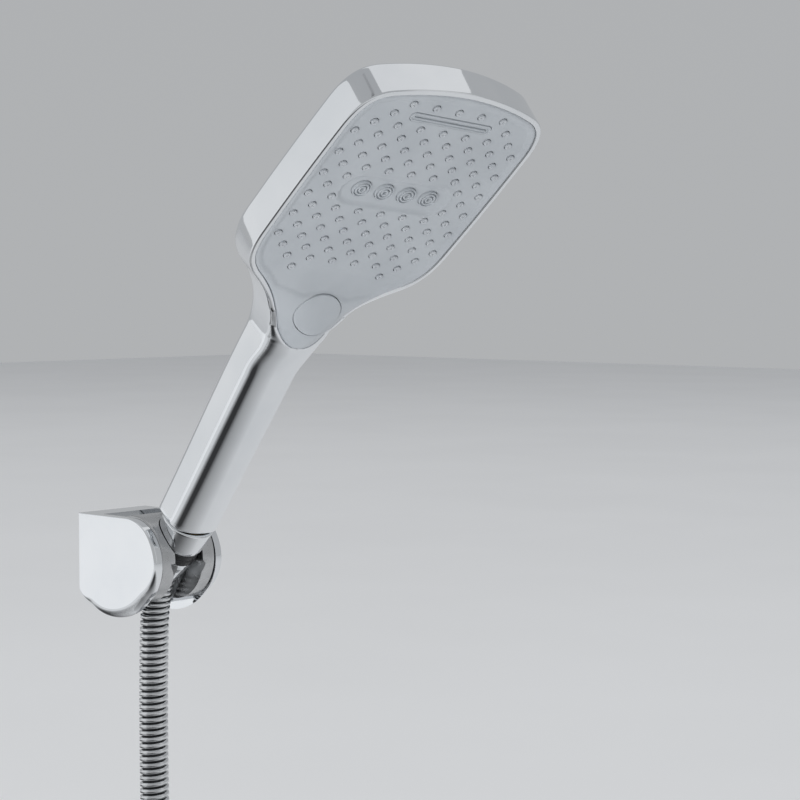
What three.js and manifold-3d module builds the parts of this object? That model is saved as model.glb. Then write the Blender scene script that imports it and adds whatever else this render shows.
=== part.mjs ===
// Handheld shower head in its wall holder, with its hose put away in a coil.
// Millimetres. +X points out of the wall, +Z is up, and Y runs along the wall.
// The origin is on the wall, level with the pivot that the holder's cradle tilts on.
import * as THREE from "three";
import { mergeVertices } from "three/addons/utils/BufferGeometryUtils.js";
import Module from "manifold-3d";

const wasm = await Module();
wasm.setup();

// ---------------------------------------------------------------- driving dimensions
const GAP = 0.3; // clearance between pieces that touch on the real object

// wall holder
const HOLDER_WIDTH = 44.1;
const CHEEK = 4.65; // thickness of each side cheek
const PIVOT_X = 36;
const CHEEK_R = 21.9; // round front of the cheeks, about the pivot
const HOLDER_TOP = 20.9;
const HOLDER_LOW = 29.6;
const WEB_FRONT = 13.6; // front face of the wall between the cheeks
const CAVITY = { depth: 10.4, half: 15.5, low: -16, high: 17 };
const PLATE = { thick: 3, half: 13.5, height: 28, holeR: 2.4, holeZ: 8 };
const LOCK = { x: 7 }; // the screw that holds the base on its wall plate

// cradle, measured along and across the axis of its socket
const TILT = 35; // how far the handset leans out from upright, degrees
const SWIVEL = -9.2; // how far the handset is turned in its socket, degrees
const DRUM_R = 21.7;
const DRUM_HALF = HOLDER_WIDTH / 2 - CHEEK - GAP;
const SOCKET_X = 6.4; // the socket's axis passes this far in front of the pivot
const RIM_Z = 28.5; // height of the handle's lower end above the pivot
const SLOT_HALF = 8.5;
const COLLAR_TOP = 22;
const PIN = { r: 4, inner: 10.5, outer: 20.5 };
const WASHER = { r: 9, bore: 4.4, thick: 1.2 };

// handle and head, measured from the centre of the handle's lower end
const HANDLE = { width: 27.5, depth: 22, corner: 5.4, length: 128, bore: 8.2 };
const FACE_LEAN = 14.3; // the spray face leans this far from the handle's axis, degrees
const FACE_X = 27.8;
const FACE_Z = 206.6;
const BEZEL = 2.2;
const FACE_THICK = 2.6;
const BEND_V = -53.8; // the tongue leaves the face here, measured down the face
const TONGUE_RISE = Math.tan(THREE.MathUtils.degToRad(FACE_LEAN));
const TONGUE_X = 14.5; // front of the tongue, in front of the handle's axis
const HEAD_BACK = [[-13.5, 66], [-17, 52], [-20.5, 32], [-23.5, 5], [-25.6, -25], [-26.4, -50], [-25, -62]];

// spray nozzles: a staggered grid, rows 6.3 apart down the face
const PITCH = 12.63;
const NUB = { r: 1.6, hole: 2.0, height: 1.1, sides: 5 };
const NUB_ROWS = [
  [3, 5, 7, 9, 11], [2, 12], [1, 3, 5, 7, 9, 11, 13], [0, 2, 4, 6, 8, 10, 12, 14],
  [1, 3, 5, 7, 9, 11, 13], [0, 2, 4, 6, 8, 10, 12, 14], [1, 3, 5, 7, 9, 11, 13],
  [0, 2, 12, 14], [1, 13], [0, 2, 12, 14], [1, 3, 5, 7, 9, 11, 13],
  [0, 2, 4, 6, 8, 10, 12, 14], [1, 3, 5, 7, 9, 11, 13], [0, 2, 4, 6, 8, 10, 12, 14],
  [1, 3, 5, 7, 9, 11, 13], [2, 4, 6, 8, 10, 12], [3, 11],
];
const MASSAGE = { r: 3.8, hole: 4.1, neck: 2.5 };
const CASCADE = { v: 44.2, length: 45, width: 4.7, slot: 40, mouth: 1.2 };
const BUTTON = { z: 133, halfY: 11.8, halfZ: 10.4 };

// hose and its fittings, measured down the handle's axis from the handle's lower end
const CONE = { top: 13, low: 10.5, length: 18, bore: 10.3, boreDepth: 13.2, throat: 6.6 };
const COLLAR = { r: 8.1, top: 18.3, low: 27.2, bore: 6.3 };
const FERRULE = { top: 27.5, low: 31, rTop: 8.1, rLow: 7.5 };
const HOSE_R = 7;
const HOSE_LENGTH = 1600;
const COIL = { turns: 3, step: 14.6, x: 31.5, z: -232 };
// stretch of hose that isn't coiled: X and Z of its centreline, all at Y = 0
const HOSE_DROP = [
  [39.64, -5.96], [36.92, -10.23], [34.59, -14.72], [32.65, -19.39], [31.13, -24.22],
  [30.04, -29.16], [29.37, -34.17], [29.15, -39.2], [29.1, -48], [29.15, -60], [29.35, -74],
  [29.65, -90], [30.05, -106], [30.5, -122], [30.9, -140], [31.25, -160], [31.45, -182],
  [31.5, -206], [31.5, COIL.z],
];
const DROP_END = COIL.z + 16; // the drawn tube stops here, where the coil's solid takes over
const TAIL = 50; // straight hose between the coil and the lower ferrule
const LOWER = { ferrule: 14, nut: 17, nutR: 12.6 };
const TIE = { thick: 1.2, width: 18 };

// ---------------------------------------------------------------- materials
const finish = (color, roughness, metalness) =>
  new THREE.MeshStandardMaterial({ color, roughness, metalness });
const chrome = finish(0xdfe4e8, 0.06, 1);
const satinChrome = finish(0xb4b5b6, 0.35, 0.8);
const brass = finish(0xc2a566, 0.3, 1);
const steel = finish(0xc4c8cb, 0.3, 1);
const greyPlastic = finish(0xb4b9be, 0.4, 0);
const silicone = finish(0xbcc1c6, 0.6, 0);
const whitePlastic = finish(0xe6e6e2, 0.5, 0);
const blackPlastic = finish(0x18191b, 0.35, 0);
const rubber = finish(0x202020, 0.8, 0);

// ---------------------------------------------------------------- helpers
const rad = THREE.MathUtils.degToRad;

function solid(geometry) {
  const bare = geometry.clone();
  for (const name of Object.keys(bare.attributes)) {
    if (name !== "position") bare.deleteAttribute(name);
  }
  const merged = mergeVertices(bare, 1e-4);
  return new wasm.Manifold(new wasm.Mesh({
    numProp: 3,
    vertProperties: new Float32Array(merged.attributes.position.array),
    triVerts: new Uint32Array(merged.index.array),
  }));
}

function geometryOf(manifold) {
  const mesh = manifold.getMesh();
  const geometry = new THREE.BufferGeometry();
  geometry.setAttribute("position", new THREE.BufferAttribute(mesh.vertProperties, 3));
  geometry.setIndex(new THREE.BufferAttribute(mesh.triVerts, 1));
  return geometry;
}

const union = (first, ...others) => others.reduce((sum, next) => sum.add(next), first);
const cut = (first, ...others) => others.reduce((rest, next) => rest.subtract(next), first);

function box(x, y, z) {
  const size = [x[1] - x[0], y[1] - y[0], z[1] - z[0]];
  const geometry = new THREE.BoxGeometry(...size);
  return solid(geometry.translate((x[0] + x[1]) / 2, (y[0] + y[1]) / 2, (z[0] + z[1]) / 2));
}

// turned piece about Z: pairs of radius and height, closed on themselves or on the axis
function turned(profile, segments = 20) {
  const points = profile.map(([r, z]) => new THREE.Vector2(r, z));
  if (THREE.ShapeUtils.area(points) < 0) points.reverse();
  return new THREE.LatheGeometry(points, segments).rotateX(Math.PI / 2);
}

// ring with a plain bore, between two heights; profile pairs run up the outside
function ring(bore, outside, segments = 20) {
  const low = outside[0][1];
  const high = outside.at(-1)[1];
  return turned([[bore, low], ...outside, [bore, high], [bore, low]], segments);
}

const AXES = {
  x: new THREE.Matrix4().set(0, 0, 1, 0, 1, 0, 0, 0, 0, 1, 0, 0, 0, 0, 0, 1),
  y: new THREE.Matrix4().set(0, 1, 0, 0, 0, 0, 1, 0, 1, 0, 0, 0, 0, 0, 0, 1),
  z: new THREE.Matrix4(),
};

// outline in the plane square to an axis (x: Y and Z; y: Z and X; z: X and Y), pulled along it
function slab(shape, axis, from, to, curveSegments = 6) {
  const settings = { depth: to - from, bevelEnabled: false, curveSegments };
  const geometry = new THREE.ExtrudeGeometry(shape, settings).translate(0, 0, from);
  return solid(geometry.applyMatrix4(AXES[axis]));
}

function rod(axis, r, from, to, [a, b] = [0, 0], segments = 16) {
  const geometry = new THREE.CylinderGeometry(r, r, to - from, segments).rotateX(Math.PI / 2);
  geometry.translate(a, b, (from + to) / 2);
  return solid(geometry.applyMatrix4(AXES[axis]));
}

function polygon(points) {
  return new THREE.Shape(points.map(([x, y]) => new THREE.Vector2(x, y)));
}

function roundedRect(halfX, halfY, r) {
  const shape = new THREE.Shape();
  shape.absarc(halfX - r, halfY - r, r, 0, Math.PI / 2);
  shape.absarc(r - halfX, halfY - r, r, Math.PI / 2, Math.PI);
  shape.absarc(r - halfX, r - halfY, r, Math.PI, 1.5 * Math.PI);
  shape.absarc(halfX - r, r - halfY, r, 1.5 * Math.PI, 2 * Math.PI);
  return shape;
}

const stadium = (length, width) => roundedRect(length / 2, width / 2, width / 2 - 0.001);

function mesh(name, shape, material) {
  const geometry = shape.isBufferGeometry ? shape : geometryOf(shape);
  const piece = new THREE.Mesh(geometry, material);
  piece.name = name;
  return piece;
}

function group(position, rotation, ...pieces) {
  const nest = new THREE.Group();
  nest.position.set(...position);
  nest.rotation.set(...rotation);
  nest.add(...pieces.flat());
  return nest;
}

// ---------------------------------------------------------------- outline of the spray face
// Right half of the grey face and its tongue, in the plane of the face: Y across, Z up the head.
function halfOutline() {
  const path = new THREE.Path();
  path.moveTo(0, 59.2);
  path.bezierCurveTo(16, 59, 30, 56, 39, 53);
  path.bezierCurveTo(46.5, 50.4, 49.4, 44.5, 50, 34);
  path.bezierCurveTo(50.7, 12, 50.7, -12, 50.2, -33);
  path.bezierCurveTo(49.6, -45, 46.5, -50.5, 39.5, -55.7);
  path.bezierCurveTo(30, -62, 24.5, -67.5, 19.6, -74.5);
  path.bezierCurveTo(15.5, -81, 10.5, -92.6, 0, -92.8);
  return path.getPoints(5);
}

// Whole outline, moved outwards by a distance.
function faceOutline(offset = 0) {
  const right = halfOutline();
  const left = right.slice(1, -1).reverse().map((p) => new THREE.Vector2(-p.x, p.y));
  const all = [...right, ...left];
  return all.map((p, i) => {
    const before = all[(i + all.length - 1) % all.length];
    const after = all[(i + 1) % all.length];
    const along = after.clone().sub(before).normalize();
    return new THREE.Vector2(p.x - along.y * offset, p.y + along.x * offset);
  });
}

// Region in front of or behind the bent face: pairs of depth and height down the head.
function facePrism(offset, depths) {
  const prism = slab(new THREE.Shape(faceOutline(offset)), "x", -60, 30);
  const sides = slab(polygon(depths.map(([x, z]) => [z, x])), "y", -70, 70);
  return prism.intersect(sides);
}

// The front of the face at a depth: straight down the head, then forwards along the tongue.
function faceLine(depth, low = -120, high = 80) {
  const rise = (z) => depth + Math.max(0, BEND_V - z) * TONGUE_RISE;
  return [[depth, high], [depth, BEND_V], [rise(low), low]];
}

function faceLayer(offset, back, front) {
  return facePrism(offset, [...faceLine(back), ...faceLine(front).reverse()]);
}

// A flat layer behind the round part of the face, without the tongue.
function headLayer(offset, back, front, low = -50) {
  const layer = slab(new THREE.Shape(faceOutline(offset)), "x", back, front);
  return layer.intersect(box([back, front], [-70, 70], [low, 80]));
}

function nubCentres() {
  return NUB_ROWS.flatMap((columns, row) =>
    columns.map((column) => [((column - 7) / 2) * PITCH, ((8 - row) / 2) * PITCH]));
}

const massageCentres = [-1.5, -0.5, 0.5, 1.5].map((step) => [step * PITCH, 0]);

const cascadeSlab = (grow, from, to) =>
  slab(stadium(CASCADE.length + grow, CASCADE.width + grow), "x", from, to, 4)
    .translate(0, 0, CASCADE.v);

// ---------------------------------------------------------------- head, in the face's frame
function headShell() {
  const head = facePrism(BEZEL, [...HEAD_BACK, [-16, -120], ...faceLine(-GAP).reverse()]);
  const seat = faceLayer(GAP, -FACE_THICK - GAP, 5);
  const chamber = headLayer(-2.9, -13.4, 0, -53.3);
  return { head, seat, chamber };
}

function sprayFaceplate() {
  const plate = faceLayer(0, -FACE_THICK, 0);
  const holes = nubCentres().map((at) => rod("x", NUB.hole, -4, 2, at, NUB.sides));
  const jets = massageCentres.map((at) => rod("x", MASSAGE.hole, -4, 2, at, 12));
  const button = buttonHole().translate(-FACE_X, 0, -FACE_Z).rotate([0, -FACE_LEAN, 0]);
  return cut(plate, ...holes, ...jets, cascadeSlab(2 * GAP, -4, 2), button);
}

function nozzleMat() {
  const sheet = headLayer(-3.2, -FACE_THICK - GAP - 1.7, -FACE_THICK - GAP, -53);
  const jets = massageCentres.map((at) => rod("x", MASSAGE.neck + GAP, -6, 0, at, 12));
  const opened = cut(sheet, ...jets, cascadeSlab(2 * GAP, -6, 0));
  const nubs = nubCentres().map((at) => rod("x", NUB.r, -3.6, NUB.height, at, NUB.sides));
  return union(opened, ...nubs);
}

function massageNozzle() {
  const { r, neck } = MASSAGE;
  const profile = [
    [0, -4.4], [neck, -4.4], [neck, -2.2], [r, -2.2], [r, 0.4], [2.7, 0.4], [2.5, -0.4],
    [1.8, -0.4], [1.5, 0.5], [0.8, -1.2], [0, -1.2],
  ];
  return turned(profile, 10).rotateY(Math.PI / 2);
}

function waterfallLip() {
  const mouth = slab(stadium(CASCADE.slot, CASCADE.mouth), "x", -5, 3, 3);
  return cut(cascadeSlab(0, -FACE_THICK - 1.5, 0.3), mouth.translate(0, 0, CASCADE.v));
}

function waterDivider() {
  const ports = [[-26, 16], [0, 16], [26, 16], [0, 34], [-24, -22], [24, -22], [0, -14]];
  return cut(headLayer(-8, -7.6, -4.9, -46), ...ports.map((at) => rod("x", 2.5, -8, -4, at, 8)));
}

function chamberSeal() {
  return cut(headLayer(-3.2, -7.6, -4.9, -53), headLayer(-7.7, -8, -2, -46.4));
}

function chamberCap() {
  const cap = headLayer(-8, -13, -7.9, -46);
  const inlet = rod("x", 4, -14, -7, [0, -36], 12);
  return cut(cap, headLayer(-10, -11.2, -7, -43.5), inlet);
}

// ---------------------------------------------------------------- handle, in the handset's frame
function handsetShell() {
  const { head, seat, chamber } = headShell();
  const lean = [0, FACE_LEAN, 0];
  const place = (part) => part.rotate(lean).translate(FACE_X, 0, FACE_Z);
  const section = roundedRect(HANDLE.depth / 2, HANDLE.width / 2, HANDLE.corner);
  const handle = slab(section, "z", 0, HANDLE.length, 3);
  const bore = rod("z", HANDLE.bore, -1, 150, [0, 0], 16);
  const end = rod("z", 9.3, -1, 14.3, [0, 0], 20);
  const valve = box([-8.6, 12], [-11.8, 11.8], [119, 147]);
  const throat = box([-6, 8], [-9, 9], [140, 168]);
  return cut(union(handle, place(head)), place(seat), place(chamber), bore, end, valve, throat);
}

function buttonOutline(grow = 0) {
  const outline = new THREE.Shape();
  outline.absellipse(0, BUTTON.z, BUTTON.halfY + grow, BUTTON.halfZ + grow, 0, 2 * Math.PI);
  return outline;
}

function modeButton() {
  const cap = slab(buttonOutline(), "x", TONGUE_X - 3.6, TONGUE_X + 0.3, 20);
  return union(cap, rod("x", 3, 8.6, TONGUE_X - 3, [0, BUTTON.z], 10));
}

const buttonHole = () => slab(buttonOutline(GAP), "x", 5, 25, 20);

function coilSpring(outer, inner, from, to) {
  return cut(rod("x", outer, from, to, [0, BUTTON.z], 12), rod("x", inner, 0, 20, [0, BUTTON.z], 12));
}

function selectorRotor() {
  const ports = [0, 120, 240].map((turn) => {
    const y = 5 * Math.cos(rad(turn));
    return rod("x", 1.4, 0, 10, [y, BUTTON.z + 5 * Math.sin(rad(turn))], 6);
  });
  return cut(rod("x", 8, 4.4, 6.2, [0, BUTTON.z], 20), ...ports);
}

const rotorSeal = () =>
  cut(rod("x", 7.6, 3.2, 4.1, [0, BUTTON.z], 16), rod("x", 3.8, 0, 8, [0, BUTTON.z], 12));

function valveBody() {
  const block = box([-8.2, 2.9], [-11.4, 11.4], [119.4, 146.6]);
  const seat = rod("x", 3.5, -3, 5, [0, BUTTON.z], 12);
  const inlet = rod("z", 5.6, 110, 134, [0, 0], 12);
  const outlet = rod("z", 3.2, 130, 150, [-2.5, 0], 10);
  return cut(block, seat, inlet, outlet);
}

const innerWaterway = () => ring(5.5, [[7.4, 16.5], [7.4, 119]], 14);

const waterwaySeal = () => ring(5.6, [[7.4, 14.3], [7.4, 16.2]], 14);

function inletFilter() {
  const disc = rod("z", 4.9, -9.2, -8, [0, 0], 14);
  const holes = [0, 1, 2, 3, 4, 5].map((step) => {
    const turn = (step * Math.PI) / 3;
    return rod("z", 0.9, -10, -7, [3 * Math.cos(turn), 3 * Math.sin(turn)], 6);
  });
  return cut(disc, ...holes);
}

const inletFitting = () =>
  turned([
    [5.2, -9.5], [9.9, -9.5], [9.9, -0.4], [8.9, -0.4], [8.9, 14], [5.2, 14], [5.2, -9.5],
  ], 20);

// ---------------------------------------------------------------- hose fittings
const coneNut = () => {
  const { top, low, length, bore, boreDepth, throat } = CONE;
  return turned([
    [throat, -length], [low, -length], [top, -1.2], [top - 0.6, -0.4], [bore, -0.4],
    [bore, -boreDepth], [throat, -boreDepth], [throat, -length],
  ], 24);
};

const hoseTail = () =>
  turned([
    [4, -30.7], [5.9, -30.7], [5.9, -12.9], [9.4, -12.9], [9.4, -11.6], [4, -11.6], [4, -30.7],
  ], 16);

const inletWasher = () => ring(4.5, [[9.3, -11.3], [9.3, -9.8]], 16);

const swivelCollar = () =>
  ring(COLLAR.bore, [[COLLAR.r - 0.5, -COLLAR.low], [COLLAR.r, -COLLAR.low + 0.8],
    [COLLAR.r, -COLLAR.top]], 20);

const hoseFerrule = () =>
  ring(COLLAR.bore, [[FERRULE.rLow, -FERRULE.low], [FERRULE.rTop, -FERRULE.top]], 20);

// ---------------------------------------------------------------- hose
function dropCurve() {
  return new THREE.CatmullRomCurve3(HOSE_DROP.map(([x, z]) => new THREE.Vector3(x, 0, z)));
}

// Mean radius that winds the rest of the hose into the coil's turns.
function coilRadius() {
  const wound = HOSE_LENGTH - dropCurve().getLength() - TAIL;
  const perTurn = Math.sqrt((wound / COIL.turns) ** 2 - COIL.step ** 2);
  return perTurn / (2 * Math.PI);
}

const COIL_R = coilRadius();
const COIL_END_X = COIL.x + COIL.step * COIL.turns;

function hoseTube() {
  const points = HOSE_DROP.slice(0, -1).map(([x, z]) => new THREE.Vector3(x, 0, z));
  points.push(new THREE.Vector3(COIL.x, 0, DROP_END));
  const section = new THREE.Shape().absarc(0, 0, HOSE_R, 0, 2 * Math.PI);
  const extrudePath = new THREE.CatmullRomCurve3(points);
  return new THREE.ExtrudeGeometry(section, { extrudePath, steps: 32, curveSegments: 5 });
}

function coilRing(grow, from, to, segments) {
  const half = HOSE_R + grow;
  const profile = [
    [COIL_R - half, from], [COIL_R + half, from], [COIL_R + half, to], [COIL_R - half, to],
    [COIL_R - half, from],
  ];
  const ringSolid = solid(turned(profile, segments).rotateY(Math.PI / 2));
  return ringSolid.translate(0, COIL_R, COIL.z);
}

function hoseCoil() {
  const wound = coilRing(0, COIL.x - HOSE_R, COIL_END_X + HOSE_R, 30);
  const arriving = rod("z", HOSE_R + GAP, DROP_END - GAP, 0, [COIL.x, 0], 10);
  const leaving = rod("z", HOSE_R + GAP, COIL.z - TAIL - 20, COIL.z, [COIL_END_X, 0], 10);
  return cut(wound, arriving, leaving);
}

function hoseTie() {
  const edge = TIE.thick + GAP;
  const band = coilRing(edge, COIL.x - HOSE_R - edge, COIL_END_X + HOSE_R + edge, 30);
  const inside = coilRing(GAP, COIL.x - HOSE_R - GAP, COIL_END_X + HOSE_R + GAP, 30);
  const stretch = box([0, 120], [COIL_R * 1.5, 250], [COIL.z - TIE.width / 2, COIL.z + TIE.width / 2]);
  return cut(band, inside).intersect(stretch);
}

const hoseTailStretch = () => rod("z", HOSE_R, COIL.z - TAIL, COIL.z - GAP, [0, 0], 10);

// lower end: ferrule, tail piece and the nut that turns freely on it, down from the hose's end
const lowerFerrule = () => ring(COLLAR.bore, [[8.9, -LOWER.ferrule], [7.7, -GAP]], 20);

const lowerTail = () =>
  turned([
    [4, -26], [9.6, -26], [9.6, -24.6], [5.9, -24.6], [5.9, -0.6], [4, -0.6], [4, -26],
  ], 16);

function wallNut() {
  const { nutR, ferrule, nut } = LOWER;
  const low = -ferrule - GAP - nut;
  return turned([
    [10.4, low], [nutR, low], [nutR, low + nut - 3], [nutR - 1.6, low + nut], [6.6, low + nut],
    [6.6, -24], [10.4, -24], [10.4, low],
  ], 24);
}

const outletWasher = () => ring(4.5, [[9.8, -28.2], [9.8, -26.3]], 16);

// ---------------------------------------------------------------- wall holder
function holderProfile() {
  const side = new THREE.Shape();
  side.moveTo(0, -17);
  side.lineTo(0, HOLDER_TOP);
  side.lineTo(PIVOT_X, HOLDER_TOP);
  side.absarc(PIVOT_X, HOLDER_TOP - CHEEK_R, CHEEK_R, Math.PI / 2, -0.9, true);
  side.bezierCurveTo(43, -25.5, 33, -HOLDER_LOW, 23, -HOLDER_LOW);
  side.bezierCurveTo(14, -HOLDER_LOW, 5, -26, 0, -17);
  return side;
}

// side view outline (X and Z) pulled along Y
function sideSlab(shape, from, to, curveSegments) {
  const settings = { depth: to - from, bevelEnabled: false, curveSegments };
  const geometry = new THREE.ExtrudeGeometry(shape, settings).rotateX(Math.PI / 2);
  return solid(geometry.translate(0, to, 0));
}

function wallBase() {
  const half = HOLDER_WIDTH / 2;
  const inner = half - CHEEK;
  const body = sideSlab(holderProfile(), -half, half, 8);
  const channel = box([WEB_FRONT, 80], [-inner, inner], [-50, 50]);
  const cavity = box([-1, CAVITY.depth], [-CAVITY.half, CAVITY.half], [CAVITY.low, CAVITY.high]);
  const pinHoles = rod("y", PIN.r + GAP, -PIN.outer - GAP, PIN.outer + GAP, [0, PIVOT_X]);
  const lockHole = rod("z", 2.3, -40, 0, [LOCK.x, 0], 10);
  return cut(body, channel, cavity, pinHoles, lockHole);
}

function wallPlate() {
  const plate = slab(roundedRect(PLATE.half, PLATE.height / 2, 3), "x", 0, PLATE.thick, 4);
  const lug = box([PLATE.thick - 1, CAVITY.depth - GAP], [-6, 6], [-14, -12.6]);
  const holes = [-1, 1].map((side) => rod("x", PLATE.holeR, -2, 6, [0, side * PLATE.holeZ], 12));
  return cut(union(plate, lug), ...holes);
}

const lockScrew = () => rod("z", 2, -26.5, -14.3, [LOCK.x, 0], 10);

// ---------------------------------------------------------------- cradle, about the pivot
function cradleCollar() {
  const { top } = CONE;
  const outside = [[17, 2], [17, 10], [16, 14], [15.4, 19], [15.2, COLLAR_TOP]];
  return solid(ring(top - 6, outside, 32)).translate(SOCKET_X, 0, 0);
}

function socketBore() {
  const flare = (CONE.top - CONE.low) / (CONE.length - 1.2);
  const seat = RIM_Z - CONE.length - GAP;
  const low = CONE.low + 0.5;
  const cone = turned([[0, seat], [low, seat], [low + 20 * flare, seat + 20], [0, seat + 20]], 32);
  return solid(cone).translate(SOCKET_X, 0, 0);
}

function cradle() {
  const drum = rod("y", DRUM_R, -DRUM_HALF, DRUM_HALF, [0, 0], 48);
  const slotBack = rod("z", SLOT_HALF, -40, 40, [SOCKET_X, 0], 24);
  const slotFront = box([SOCKET_X, 60], [-SLOT_HALF, SLOT_HALF], [-40, 40]);
  const sweep = sideSlab(polygon([[-8.5, 40], [-8.5, COLLAR_TOP - 0.5], [16, 11], [30, 9], [30, 40]]),
    -40, 40);
  const pinHole = rod("y", PIN.r + GAP, -40, 40, [0, 0]);
  const core = rod("y", 6, -PIN.inner + GAP, PIN.inner - GAP, [0, 0]);
  const recess = [-1, 1].map((side) => {
    const inner = DRUM_HALF - WASHER.thick - GAP;
    return rod("y", WASHER.r + GAP, ...(side > 0 ? [inner, 40] : [-40, -inner]), [0, 0], 20);
  });
  const body = cut(union(drum, cut(cradleCollar(), sweep)), pinHole).add(core);
  return cut(body, socketBore(), slotBack, slotFront, ...recess);
}

const pivotPin = () => rod("y", PIN.r, PIN.inner, PIN.outer, [0, 0]);

const frictionWasher = () => {
  const inner = DRUM_HALF - WASHER.thick;
  return cut(rod("y", WASHER.r, inner, DRUM_HALF, [0, 0], 20), rod("y", WASHER.bore, 0, 40, [0, 0]));
};

// ---------------------------------------------------------------- assembly
function headPieces() {
  const pieces = [
    mesh("spray_faceplate", sprayFaceplate(), greyPlastic),
    mesh("nozzle_mat", nozzleMat(), silicone),
    mesh("waterfall_lip", waterfallLip(), greyPlastic),
    mesh("water_divider", waterDivider(), whitePlastic),
    mesh("chamber_seal", chamberSeal(), rubber),
    mesh("chamber_cap", chamberCap(), whitePlastic),
  ];
  massageCentres.forEach(([y, z], index) => {
    const jet = mesh(`massage_nozzle_${index + 1}`, massageNozzle(), greyPlastic);
    jet.position.set(0, y, z);
    pieces.push(jet);
  });
  return group([FACE_X, 0, FACE_Z], [0, rad(FACE_LEAN), 0], pieces);
}

function handsetPieces() {
  return [
    mesh("handset_shell", handsetShell(), chrome),
    mesh("mode_button", modeButton(), greyPlastic),
    mesh("button_spring", coilSpring(5.2, 3.4, 6.5, 10.6), steel),
    mesh("selector_rotor", selectorRotor(), whitePlastic),
    mesh("rotor_seal", rotorSeal(), rubber),
    mesh("valve_body", valveBody(), whitePlastic),
    mesh("inner_waterway", innerWaterway(), whitePlastic),
    mesh("waterway_seal", waterwaySeal(), rubber),
    mesh("inlet_filter", inletFilter(), whitePlastic),
    mesh("inlet_washer", inletWasher(), rubber),
    mesh("inlet_fitting", inletFitting(), brass),
    mesh("cone_nut", coneNut(), chrome),
    headPieces(),
  ];
}

function hoseTopPieces() {
  return [
    mesh("hose_tail_upper", hoseTail(), brass),
    mesh("swivel_collar", swivelCollar(), blackPlastic),
    mesh("hose_ferrule_upper", hoseFerrule(), chrome),
  ];
}

function cradlePieces() {
  const socket = [SOCKET_X, 0, RIM_Z];
  return [
    mesh("cradle", cradle(), satinChrome),
    group(socket, [0, 0, rad(SWIVEL)], handsetPieces()),
    group(socket, [0, 0, 0], hoseTopPieces()),
  ];
}

function holderPieces() {
  const pieces = [
    mesh("wall_base", wallBase(), chrome),
    mesh("wall_plate", wallPlate(), steel),
    mesh("lock_screw", lockScrew(), steel),
  ];
  for (const [name, turn] of [["left", Math.PI], ["right", 0]]) {
    const pin = mesh(`pivot_pin_${name}`, pivotPin(), steel);
    const washer = mesh(`friction_washer_${name}`, frictionWasher(), blackPlastic);
    pieces.push(group([PIVOT_X, 0, 0], [0, 0, turn], pin, washer));
  }
  return pieces;
}

function hosePieces() {
  return [
    mesh("hose_tube", hoseTube(), steel),
    mesh("hose_coil", hoseCoil(), steel),
    mesh("hose_tie", hoseTie(), blackPlastic),
    group([COIL_END_X, 0, 0], [0, 0, 0], mesh("hose_tail_stretch", hoseTailStretch(), steel)),
    group([COIL_END_X, 0, COIL.z - TAIL], [0, 0, 0],
      mesh("hose_ferrule_lower", lowerFerrule(), chrome),
      mesh("hose_tail_lower", lowerTail(), brass),
      mesh("wall_nut", wallNut(), chrome),
      mesh("outlet_washer", outletWasher(), rubber)),
  ];
}

export default group([0, 0, 0], [0, 0, 0],
  holderPieces(),
  group([PIVOT_X, 0, 0], [0, rad(TILT), 0], cradlePieces()),
  hosePieces());
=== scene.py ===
import math

import bmesh
import bpy
import numpy as np
from mathutils import Matrix, Vector
from mathutils.geometry import delaunay_2d_cdt


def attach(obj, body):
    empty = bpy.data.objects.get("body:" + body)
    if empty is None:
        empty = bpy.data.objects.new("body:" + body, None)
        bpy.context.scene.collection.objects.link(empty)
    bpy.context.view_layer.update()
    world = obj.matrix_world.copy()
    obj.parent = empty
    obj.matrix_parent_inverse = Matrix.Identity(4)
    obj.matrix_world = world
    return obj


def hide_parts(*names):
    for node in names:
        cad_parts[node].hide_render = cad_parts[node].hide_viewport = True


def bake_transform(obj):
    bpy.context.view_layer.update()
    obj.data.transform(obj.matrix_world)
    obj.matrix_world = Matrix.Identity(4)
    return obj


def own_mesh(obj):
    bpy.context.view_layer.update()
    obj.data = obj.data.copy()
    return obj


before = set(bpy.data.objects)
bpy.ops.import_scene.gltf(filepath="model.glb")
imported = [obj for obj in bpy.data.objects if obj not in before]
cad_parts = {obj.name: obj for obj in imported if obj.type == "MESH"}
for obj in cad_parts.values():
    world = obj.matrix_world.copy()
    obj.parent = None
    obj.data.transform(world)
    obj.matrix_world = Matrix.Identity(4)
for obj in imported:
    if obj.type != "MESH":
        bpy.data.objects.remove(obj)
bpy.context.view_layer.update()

MM = 0.001


# ---------------------------------------------------------------- frames, in millimetres
def shift(x, y, z):
    return Matrix.Translation((x, y, z))


def turn(degrees, axis):
    return Matrix.Rotation(math.radians(degrees), 4, axis)


LEAN = math.radians(14.3)
WORLD = Matrix.Identity(4)
PIVOT = shift(36, 0, 0) @ turn(35, "Y")
SOCKET = PIVOT @ shift(6.4, 0, 28.5)
HANDSET = SOCKET @ turn(-9.2, "Z")
HEAD = HANDSET @ shift(27.8, 0, 206.6) @ turn(14.3, "Y")


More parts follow.
